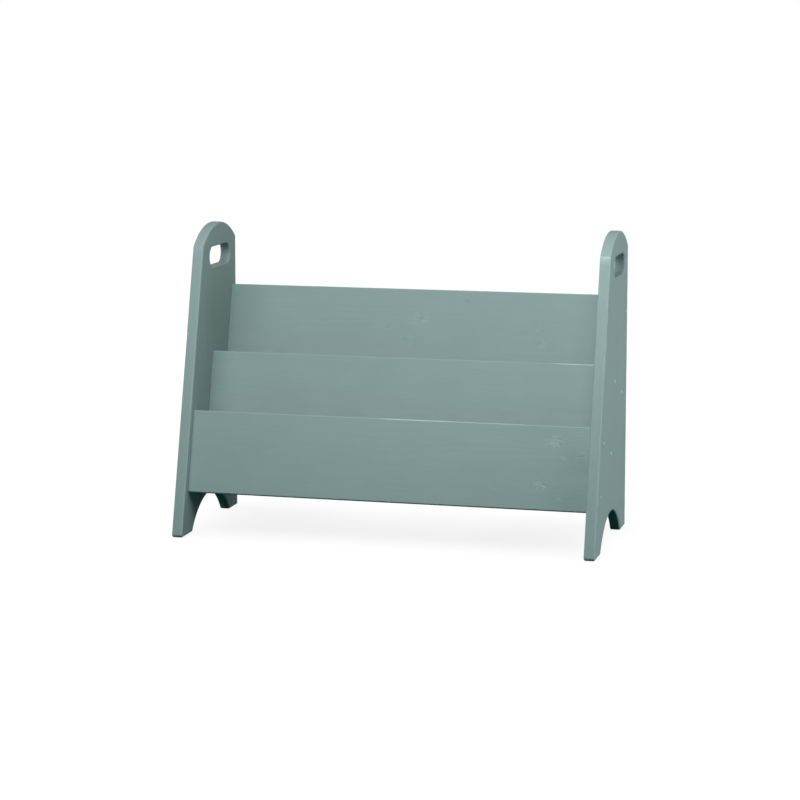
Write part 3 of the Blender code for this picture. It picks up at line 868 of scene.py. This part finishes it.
def zinc_plated_steel():
    """Bright zinc plating on a steel screw."""
    material, tree, shader = new_material("zinc_plated_steel")
    place = add_node(tree, "ShaderNodeTexCoord").outputs["Object"]
    cloud = add_node(tree, "ShaderNodeTexNoise", {
        "Vector": place, "Scale": 1 / ZINC_CLOUD_SIZE, "Detail": ZINC_CLOUD_DETAIL})
    tint = add_node(tree, "ShaderNodeMix", {
        "Factor": cloud.outputs["Fac"], 6: linear(ZINC_DARK), 7: linear(ZINC_LIGHT)}, data_type="RGBA")
    rough = add_node(tree, "ShaderNodeMapRange", {
        "Value": cloud.outputs["Fac"], "To Min": ZINC_SMOOTH, "To Max": ZINC_DULL})
    tree.links.new(tint.outputs[2], shader.inputs["Base Color"])
    tree.links.new(rough.outputs[0], shader.inputs["Roughness"])
    shader.inputs["Metallic"].default_value = 1.0
    return material


def plain_beech():
    """Sanded beech, left plain."""
    material, tree, shader = new_material("plain_beech")
    place = add_node(tree, "ShaderNodeTexCoord").outputs["Object"]
    drawn = add_node(tree, "ShaderNodeMapping", {"Vector": place, "Scale": (FLECK_STRETCH, 1.0, 1.0)})
    flecks = add_node(tree, "ShaderNodeTexNoise", {"Vector": drawn.outputs[0], "Scale": 1 / FLECK_WIDTH})
    wood = add_node(tree, "ShaderNodeMix", {
        "Factor": flecks.outputs["Fac"], 6: linear(BEECH_DARK), 7: linear(BEECH_LIGHT)}, data_type="RGBA")
    tree.links.new(wood.outputs[2], shader.inputs["Base Color"])
    shader.inputs["Roughness"].default_value = BEECH_ROUGHNESS
    return material


print("zinc clouds and beech flecks in mm:", round(ZINC_CLOUD_SIZE / MM, 1), round(FLECK_WIDTH / MM, 2))

# %% Finish the screws and dowels
FACET_JOIN = 0.01 * MM

hidden = {"_screw_": zinc_plated_steel(), "_dowel_": plain_beech()}
for word, material in hidden.items():
    pieces = [thing for node, thing in frame["nodes"].items() if word in node]
    for thing in pieces:
        thing.material_slots[0].material = material
        weld = thing.modifiers.new("join_facets", "WELD")
        weld.merge_threshold = FACET_JOIN
        shade_by_area(thing)
    print(material.name, "on", len(pieces), "pieces")

# %% [markdown]
# ## Floor and background
#
# The rack stands on a white studio floor that runs out into a white background, so only a breath of shadow
# shows under it. A plain white floor under soft lamps could do it, but it would have to be lit much more
# brightly than the rack. So the floor gives each kind of ray what the photograph shows of it:
# - To the camera it is nearly a lamp of strength 1, which is white. Where the rack stands close above, an
#   Ambient Occlusion node lowers it a little, most under the middle and less towards both ends. A small
#   share of real shading keeps the shadow that the lamps cast.
# - Mirrored rays meet a dark green floor near the rack, a painted shade for the rack's shadow and colour,
#   and a white one farther out.
# - All other rays meet a dark green floor, which is painted shade: hardly any light comes up to the
#   undersides in the picture, and what comes has the colour of the paint.

# %% Which rays meet white
def white_rays(tree):
    """1 for the rays that should meet plain white: the camera's, mirrored ones and those through glass."""
    path = add_node(tree, "ShaderNodeLightPath")
    seen = add_node(tree, "ShaderNodeMath", {
        0: path.outputs["Is Camera Ray"], 1: path.outputs["Is Glossy Ray"]}, operation="MAXIMUM")
    either = add_node(tree, "ShaderNodeMath", {
        0: seen.outputs[0], 1: path.outputs["Is Transmission Ray"]}, operation="MAXIMUM")
    return either.outputs[0]


print("rays that meet white: camera, glossy, transmission")

# %% Lay the floor
FLOOR_REACH = 30.0
# The bounce green is painted shade: the dim, green light that reaches the undersides.
FLOOR_PAINT, BOUNCE = "#F0F0F0", "#065D59"
FLOOR_GLOW, REAL_SHARE = 1.07, 0.06
SHADOW_REACH, SHADOW_DEPTH, SHADOW_SAMPLES = 0.25, 0.17, 16
SHADOW_MIDDLE, SHADOW_END, END_SHARE = 0.2, 0.4, 0.35
# Near the rack, mirrored rays meet painted shade in the rack's green.
MIRRORED_NEAR, MIRRORED_FAR, MIRRORED_SHADE = 0.4, 2.2, "#164B46"

bm = bmesh.new()
bmesh.ops.create_grid(bm, x_segments=1, y_segments=1, size=FLOOR_REACH)
floor = add_piece("floor", bm)
finish, tree, shader = new_material("studio_floor")
tree.nodes.remove(shader)
floor.data.materials.append(finish)
print("floor:", round(2 * FLOOR_REACH), "m wide")

# %% What the camera sees of the floor
# Painted shadow: the Ambient Occlusion lowers the floor's glow where the rack stands close above.
open_sky = add_node(tree, "ShaderNodeAmbientOcclusion", {"Distance": SHADOW_REACH}, samples=SHADOW_SAMPLES)
place = add_node(tree, "ShaderNodeTexCoord").outputs["Object"]
lengthwise = add_node(tree, "ShaderNodeSeparateXYZ", {0: place}).outputs["X"]
sideways = add_node(tree, "ShaderNodeMath", {0: lengthwise}, operation="ABSOLUTE")
deepest = add_node(tree, "ShaderNodeMapRange", {
    "Value": sideways.outputs[0], "From Min": SHADOW_MIDDLE, "From Max": SHADOW_END,
    "To Min": 1 - SHADOW_DEPTH, "To Max": 1 - END_SHARE * SHADOW_DEPTH}, interpolation_type="SMOOTHSTEP")
glow = add_node(tree, "ShaderNodeMapRange", {
    "Value": open_sky.outputs["AO"], "To Min": deepest.outputs[0], "To Max": FLOOR_GLOW})
print("darkest glow under the rack:", round(1 - SHADOW_DEPTH, 2))

# %% What mirrored and other rays see of it
away = add_node(tree, "ShaderNodeVectorMath", {0: place}, operation="LENGTH")
openness = add_node(tree, "ShaderNodeMapRange", {
    "Value": away.outputs["Value"], "From Min": MIRRORED_NEAR, "From Max": MIRRORED_FAR},
    interpolation_type="SMOOTHSTEP")
mirrored = add_node(tree, "ShaderNodeMix", {
    "Factor": openness.outputs[0], 6: linear(MIRRORED_SHADE), 7: WHITE}, data_type="RGBA")
path = add_node(tree, "ShaderNodeLightPath")
colour = add_node(tree, "ShaderNodeMix", {
    "Factor": path.outputs["Is Camera Ray"], 6: mirrored.outputs[2], 7: glow.outputs[0]}, data_type="RGBA")
shine = add_node(tree, "ShaderNodeEmission", {"Color": colour.outputs[2]})
shade = add_node(tree, "ShaderNodeBsdfDiffuse", {"Color": linear(FLOOR_PAINT)})
seen = add_node(tree, "ShaderNodeMixShader", {"Fac": REAL_SHARE, 1: shine.outputs[0], 2: shade.outputs[0]})
unseen = add_node(tree, "ShaderNodeBsdfDiffuse", {"Color": linear(BOUNCE)})
mixed = add_node(tree, "ShaderNodeMixShader", {
    "Fac": white_rays(tree), 1: unseen.outputs[0], 2: seen.outputs[0]})
tree.links.new(mixed.outputs[0], tree.nodes["Material Output"].inputs["Surface"])
print("floor nodes:", len(tree.nodes))

# %% [markdown]
# ## Light
#
# The picture's light is soft and comes from the front, from well above: the front edges fade evenly from
# head to foot, and the undersides are nearly black. A single sun would give hard shadows, and light from
# everywhere no fall at all, so each lamp is a softbox, a square that glows. The large key softbox hangs
# above the front and does most of the work. A small one on the left and one on the right, close in, give
# the panels and the front edges their even fall. A large one far to the right, with a low, small one before
# it, lights the right board's outer face. Two at the back are there for views from behind and hardly reach
# what the camera sees. The world itself adds a trace of light from everywhere, and is plain white where it
# shows.

# %% Light the rack
AMBIENT = 0.02
RACK_MIDDLE = (0.0, 0.0, 0.25)
LAMPS = {
    "key_softbox": dict(place=(0.0, -1.15, 1.6), aim=RACK_MIDDLE, size=0.9, power=17.0),
    "left_softbox": dict(place=(-0.57, -1.03, 0.95), aim=RACK_MIDDLE, size=0.5, power=4.25),
    "right_softbox": dict(place=(0.38, -0.6, 0.9), aim=(0.2, 0.0, 0.3), size=0.4, power=3.35),
    "side_softbox": dict(place=(2.3, 0.12, 0.45), aim=RACK_MIDDLE, size=0.9, power=18.3),
    "low_side_softbox": dict(place=(1.5, 0.0, 0.15), aim=(0.0, 0.0, 0.1), size=0.5, power=3.65),
    "back_softbox": dict(place=(-0.9, 2.4, 0.25), aim=RACK_MIDDLE, size=0.7, power=40.0),
    "back_left_softbox": dict(place=(-2.4, 0.4, 0.5), aim=RACK_MIDDLE, size=0.8, power=22.0),
}

for name, lamp in LAMPS.items():
    light = bpy.data.lights.new(name, "AREA")
    light.energy = lamp["power"]
    light.size = lamp["size"]
    thing = bpy.data.objects.new(name, light)
    bpy.context.scene.collection.objects.link(thing)
    thing.visible_camera = False
    thing.location = lamp["place"]
    beam = Vector(lamp["aim"]) - Vector(lamp["place"])
    thing.rotation_euler = beam.to_track_quat("-Z", "Y").to_euler()
print("lamps:", len(LAMPS), "with", round(sum(lamp["power"] for lamp in LAMPS.values()), 1), "watts together")

# %% Set up the world
world = bpy.data.worlds.new("studio")
bpy.context.scene.world = world
world.use_nodes = True
tree = world.node_tree
tree.nodes.clear()
ambient = add_node(tree, "ShaderNodeBackground", {"Color": WHITE, "Strength": AMBIENT})
backdrop = add_node(tree, "ShaderNodeBackground", {"Color": WHITE, "Strength": 1.0})
both = add_node(tree, "ShaderNodeMixShader", {
    "Fac": white_rays(tree), 1: ambient.outputs[0], 2: backdrop.outputs[0]})
add_node(tree, "ShaderNodeOutputWorld", {"Surface": both.outputs[0]})
bpy.context.scene.view_settings.view_transform = "Standard"
print("view transform:", bpy.context.scene.view_settings.view_transform)
